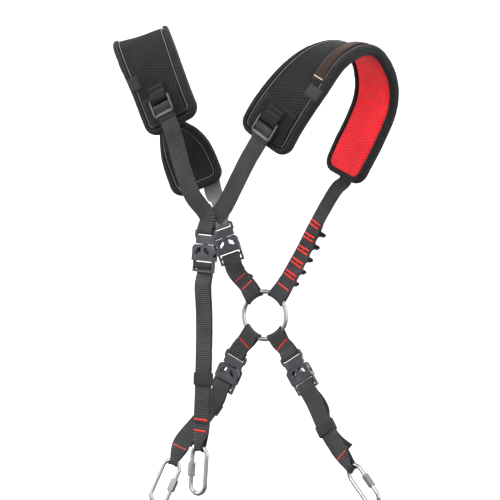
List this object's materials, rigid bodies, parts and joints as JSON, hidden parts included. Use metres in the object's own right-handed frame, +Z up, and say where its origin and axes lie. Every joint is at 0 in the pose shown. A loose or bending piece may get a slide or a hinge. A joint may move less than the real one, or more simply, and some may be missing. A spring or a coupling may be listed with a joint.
{
  "type": "tool belt suspenders",
  "caption": "Padded tool belt suspenders with adjustable webbing, side-release buckles, a chest ring and quick links that carry the belt.",
  "frame": {"origin": "midway between the shoulders, at the height of the top of the pads", "axes": "+Z up, +Y the way the wearer faces, so the wearer's left is -X"},
  "size_m": [0.3337, 0.1554, 0.5575],
  "materials": {
    "pad_mesh": "woven air mesh",
    "red_lining": "open mesh",
    "pad_core": "soft foam inside the pad",
    "binding": "folded tape",
    "webbing": "woven",
    "grey_webbing": "woven",
    "brown_strip": "smooth coated tape",
    "black_plastic": "moulded",
    "steel": "polished"
  },
  "bodies": {
    "harness": {"back_female": "black_plastic", "back_male": "black_plastic", "back_strap": "webbing", "left_back_webbing": "webbing", "left_daisy_chain": "webbing", "left_edge_keeper": "webbing", "left_front_webbing": "grey_webbing", "left_lock_tab": "webbing", "left_male": "black_plastic", "left_pad_binding": "binding", "left_pad_cover": "pad_mesh", "left_pad_foam": "pad_core", "left_pad_lining": "red_lining", "left_pad_patch": "binding", "left_ring_loop": "webbing", "right_back_webbing": "webbing", "right_daisy_chain": "webbing", "right_edge_keeper": "webbing", "right_front_webbing": "webbing", "right_lock_tab": "webbing", "right_male": "black_plastic", "right_pad_binding": "binding", "right_pad_cover": "pad_mesh", "right_pad_foam": "pad_core", "right_pad_lining": "red_lining", "right_pad_patch": "binding", "right_ring_loop": "webbing", "right_shoulder_strip": "brown_strip", "shoulder_female": "black_plastic", "shoulder_male": "black_plastic", "shoulder_ring_webbing": "webbing"},
    "left_lock": {"left_ladder_lock": "black_plastic", "left_lock_webbing": "webbing"},
    "right_lock": {"right_ladder_lock": "black_plastic", "right_lock_webbing": "webbing"},
    "ring": {"chest_ring": "steel"},
    "back_prong_left": {"back_prong_left": "black_plastic"},
    "back_prong_right": {"back_prong_right": "black_plastic"},
    "shoulder_prong_left": {"shoulder_prong_left": "black_plastic"},
    "shoulder_prong_right": {"shoulder_prong_right": "black_plastic"},
    "left_prong_left": {"left_prong_left": "black_plastic"},
    "left_prong_right": {"left_prong_right": "black_plastic"},
    "right_prong_left": {"right_prong_left": "black_plastic"},
    "right_prong_right": {"right_prong_right": "black_plastic"},
    "left_lower": {"left_female": "black_plastic", "left_strap": "webbing"},
    "right_lower": {"right_female": "black_plastic", "right_strap": "webbing"},
    "back_keeper": {"back_keeper": "webbing"},
    "back_link": {"back_quick_link": "steel"},
    "back_sleeve": {"back_link_sleeve": "steel"},
    "left_keeper": {"left_keeper": "webbing"},
    "left_link": {"left_quick_link": "steel"},
    "left_sleeve": {"left_link_sleeve": "steel"},
    "right_keeper": {"right_keeper": "webbing"},
    "right_link": {"right_quick_link": "steel"},
    "right_sleeve": {"right_link_sleeve": "steel"}
  },
  "joints": [
    {"name": "left_lock_lift", "type": "hinge", "parent": "harness", "child": "left_lock", "pos_m": [-0.05615, -0.07738, -0.04785], "axis": [-0.9212, -0.0039, -0.389], "range_deg": [0, 30]},
    {"name": "right_lock_lift", "type": "hinge", "parent": "harness", "child": "right_lock", "pos_m": [0.07901, -0.07129, -0.07693], "axis": [-0.8244, 0.0198, 0.5656], "range_deg": [0, 30]},
    {"name": "ring_turn", "type": "hinge", "parent": "harness", "child": "ring", "pos_m": [0.009, 0.053, -0.293], "axis": [0, 1, 0], "continuous": true},
    {"name": "back_prong_left_flex", "type": "hinge", "parent": "harness", "child": "back_prong_left", "pos_m": [-0.0011, -0.05811, -0.21255], "axis": [0.1473, 0.989, -0.0123], "range_deg": [0, 10], "stiffness_Nm_per_rad": 0.3},
    {"name": "back_prong_right_flex", "type": "hinge", "parent": "harness", "child": "back_prong_right", "pos_m": [-0.01589, -0.05589, -0.21132], "axis": [-0.1473, -0.989, 0.0123], "range_deg": [0, 10], "stiffness_Nm_per_rad": 0.3},
    {"name": "shoulder_prong_left_flex", "type": "hinge", "parent": "harness", "child": "shoulder_prong_left", "pos_m": [-0.04685, 0.04377, -0.20596], "axis": [0.3034, -0.9528, -0.0068], "range_deg": [0, 10], "stiffness_Nm_per_rad": 0.3},
    {"name": "shoulder_prong_right_flex", "type": "hinge", "parent": "harness", "child": "shoulder_prong_right", "pos_m": [-0.03334, 0.04804, -0.20103], "axis": [-0.3034, 0.9528, 0.0068], "range_deg": [0, 10], "stiffness_Nm_per_rad": 0.3},
    {"name": "left_prong_left_flex", "type": "hinge", "parent": "harness", "child": "left_prong_left", "pos_m": [-0.04168, 0.053, -0.35084], "axis": [0, -1, 0], "range_deg": [0, 10], "stiffness_Nm_per_rad": 0.3},
    {"name": "left_prong_right_flex", "type": "hinge", "parent": "harness", "child": "left_prong_right", "pos_m": [-0.02822, 0.053, -0.35746], "axis": [0, 1, 0], "range_deg": [0, 10], "stiffness_Nm_per_rad": 0.3},
    {"name": "right_prong_left_flex", "type": "hinge", "parent": "harness", "child": "right_prong_left", "pos_m": [0.044, 0.053, -0.35627], "axis": [0, -1, 0], "range_deg": [0, 10], "stiffness_Nm_per_rad": 0.3},
    {"name": "right_prong_right_flex", "type": "hinge", "parent": "harness", "child": "right_prong_right", "pos_m": [0.05679, 0.053, -0.34844], "axis": [0, 1, 0], "range_deg": [0, 10], "stiffness_Nm_per_rad": 0.3},
    {"name": "left_buckle_release", "type": "slide", "parent": "harness", "child": "left_lower", "axis": [-0.4416, 0, -0.8972], "range_m": [0, 0.03]},
    {"name": "right_buckle_release", "type": "slide", "parent": "harness", "child": "right_lower", "axis": [0.5221, 0, -0.8529], "range_m": [0, 0.03]},
    {"name": "back_keeper_slide", "type": "slide", "parent": "harness", "child": "back_keeper", "axis": [0.0281, 0, 0.9996], "range_m": [0, 0.03]},
    {"name": "back_link_swing", "type": "hinge", "parent": "harness", "child": "back_link", "pos_m": [-0.015, -0.057, -0.436], "axis": [-0.9866, 0.148, 0.0691], "range_deg": [-35, 35]},
    {"name": "back_sleeve_slide", "type": "slide", "parent": "back_link", "child": "back_sleeve", "axis": [0.0699, 0, 0.9976], "range_m": [0, 0.0094]},
    {"name": "left_keeper_slide", "type": "slide", "parent": "left_lower", "child": "left_keeper", "axis": [-0.5118, -0.2073, -0.8337], "range_m": [0, 0.001]},
    {"name": "left_link_swing", "type": "hinge", "parent": "left_lower", "child": "left_link", "pos_m": [-0.095, 0.022, -0.465], "axis": [0.8795, 0.2932, -0.375], "range_deg": [-35, 35]},
    {"name": "left_sleeve_slide", "type": "slide", "parent": "left_link", "child": "left_sleeve", "axis": [0.2774, 0.3245, 0.9043], "range_m": [0, 0.0094]},
    {"name": "right_keeper_slide", "type": "slide", "parent": "right_lower", "child": "right_keeper", "axis": [0.5271, -0.1588, -0.8348], "range_m": [0, 0.002]},
    {"name": "right_link_swing", "type": "hinge", "parent": "right_lower", "child": "right_link", "pos_m": [0.126, 0.038, -0.461], "axis": [0.6878, -0.2675, 0.6748], "range_deg": [-35, 35]},
    {"name": "right_sleeve_slide", "type": "slide", "parent": "right_link", "child": "right_sleeve", "axis": [-0.6634, 0.1455, 0.734], "range_m": [0, 0.0094]}
  ]
}
